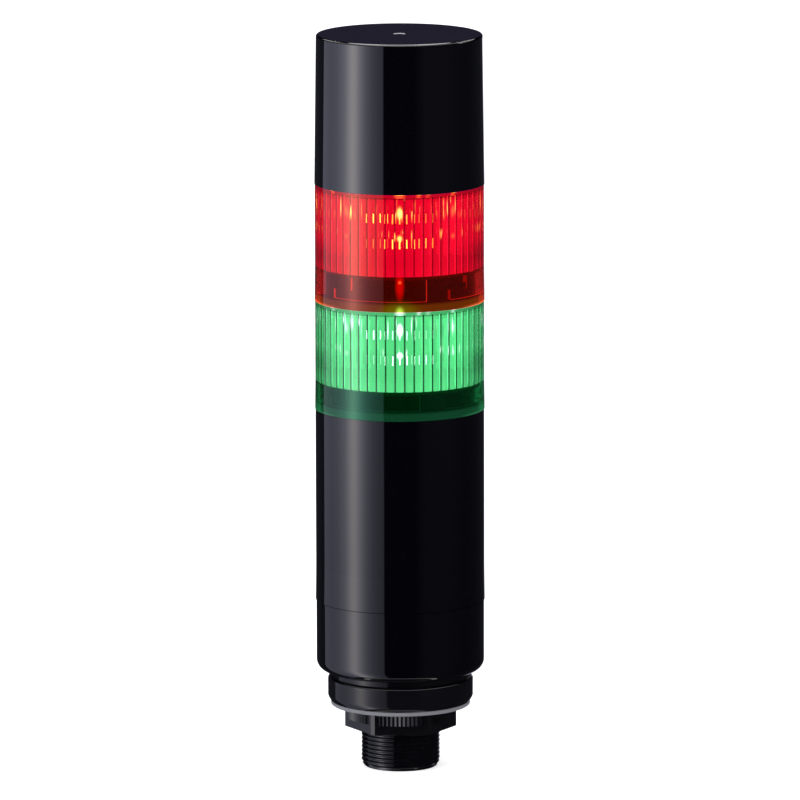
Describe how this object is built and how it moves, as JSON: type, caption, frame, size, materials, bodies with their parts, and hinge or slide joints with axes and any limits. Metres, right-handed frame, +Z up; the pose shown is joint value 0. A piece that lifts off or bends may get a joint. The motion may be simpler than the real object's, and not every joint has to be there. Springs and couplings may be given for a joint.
{
  "type": "stack light",
  "caption": "Round signal tower for a machine: black cap, red and green fluted lenses, tall black body, base cup and hollow threaded stem with a lock nut.",
  "frame": {"origin": "centre of the gasket's underside, which lies on the mounting panel", "axes": "+Z up along the tower's axis, -Y is the front, +X to the right seen from the front"},
  "size_m": [0.0604, 0.0602, 0.263],
  "materials": {
    "gloss_black_plastic": "polished moulded",
    "satin_black_plastic": "satin moulded",
    "red_lens": "clear, fluted inside",
    "green_lens": "clear, fluted inside",
    "red_leds": "lit",
    "green_leds": "lit",
    "gasket_rubber": "moulded",
    "seal_rubber": "moulded",
    "circuit_board": "lacquered board",
    "contact_brass": "bright",
    "screw_steel": "zinc plated",
    "component_case": "moulded",
    "terminal_plastic": "moulded"
  },
  "bodies": {
    "base": {"base_contact_disc": "circuit_board", "base_cup": "gloss_black_plastic", "base_screws": "screw_steel", "base_seal": "seal_rubber", "mounting_gasket": "gasket_rubber", "mounting_stem": "satin_black_plastic", "terminal_block": "terminal_plastic", "terminal_screws": "screw_steel"},
    "nut": {"lock_nut": "satin_black_plastic"},
    "body": {"body_contact_disc": "circuit_board", "body_contact_pins": "contact_brass", "body_seal": "seal_rubber", "body_tube": "gloss_black_plastic", "plug_plate": "satin_black_plastic", "power_board": "circuit_board", "power_board_parts": "component_case"},
    "green_tier": {"green_carrier": "satin_black_plastic", "green_contact_disc": "circuit_board", "green_contact_pins": "contact_brass", "green_coupler": "satin_black_plastic", "green_led_sleeve": "circuit_board", "green_leds": "green_leds", "green_lens": "green_lens", "green_seal": "seal_rubber"},
    "red_tier": {"red_carrier": "satin_black_plastic", "red_contact_disc": "circuit_board", "red_contact_pins": "contact_brass", "red_coupler": "satin_black_plastic", "red_led_sleeve": "circuit_board", "red_leds": "red_leds", "red_lens": "red_lens", "red_seal": "seal_rubber"},
    "cap": {"cap_contact_pins": "contact_brass", "sounder": "component_case", "sounder_board": "circuit_board", "sounder_chassis": "satin_black_plastic", "top_cap": "gloss_black_plastic"}
  },
  "joints": [
    {"name": "nut_run", "type": "slide", "parent": "base", "child": "nut", "axis": [0, 0, -1], "range_m": [0, 0.0137]},
    {"name": "body_twist", "type": "hinge", "parent": "base", "child": "body", "pos_m": [0, 0, 0.0381], "axis": [0, 0, 1], "range_deg": [0, 16]},
    {"name": "green_twist", "type": "hinge", "parent": "body", "child": "green_tier", "pos_m": [0, 0, 0.107], "axis": [0, 0, 1], "range_deg": [0, 16]},
    {"name": "red_twist", "type": "hinge", "parent": "green_tier", "child": "red_tier", "pos_m": [0, 0, 0.1458], "axis": [0, 0, 1], "range_deg": [0, 16]},
    {"name": "cap_twist", "type": "hinge", "parent": "red_tier", "child": "cap", "pos_m": [0, 0, 0.1874], "axis": [0, 0, 1], "range_deg": [0, 16]}
  ]
}
